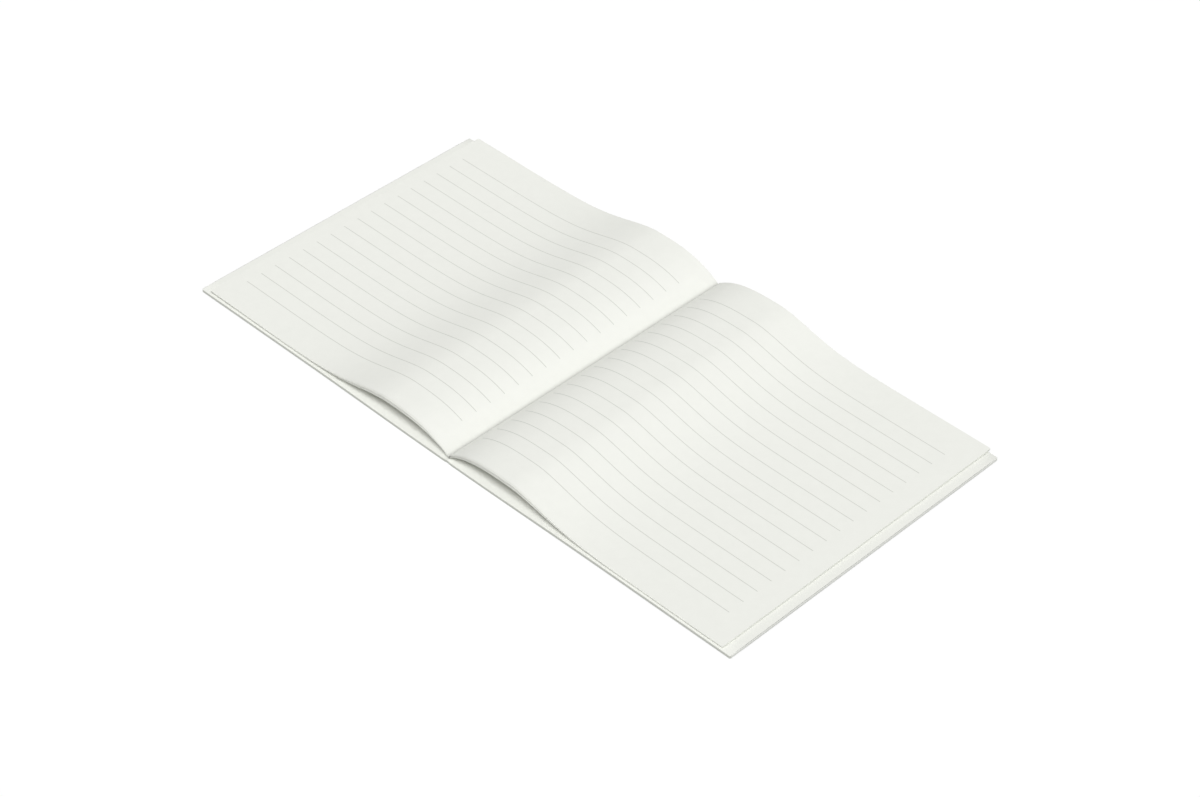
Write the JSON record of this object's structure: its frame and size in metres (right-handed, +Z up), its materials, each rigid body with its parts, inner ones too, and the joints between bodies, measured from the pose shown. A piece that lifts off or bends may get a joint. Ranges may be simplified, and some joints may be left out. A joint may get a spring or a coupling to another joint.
{
  "type": "open composition notebook",
  "caption": "Thin square notebook lying open: ruled leaves sewn in one section arch up beside the fold inside a creased card cover that closes.",
  "frame": {"origin": "on the table, under the middle of the fold of the open cover", "axes": "+X across the open book towards the back half, +Y up the page along the fold, +Z up from the table"},
  "size_m": [0.2968, 0.1512, 0.0115],
  "materials": {
    "cover_card": "matte",
    "page_paper": "matte",
    "thread": "matte"
  },
  "bodies": {
    "back_half": {"back_cover": "cover_card", "back_pages": "page_paper", "sewing_thread": "thread"},
    "front_half": {"front_cover": "cover_card", "front_pages": "page_paper"}
  },
  "joints": [
    {"name": "front_cover_hinge", "type": "hinge", "parent": "back_half", "child": "front_half", "pos_m": [0, 0, 0.00338], "axis": [0, 1, 0], "range_deg": [0, 180], "deforming": ["front_pages", "back_pages"]}
  ]
}
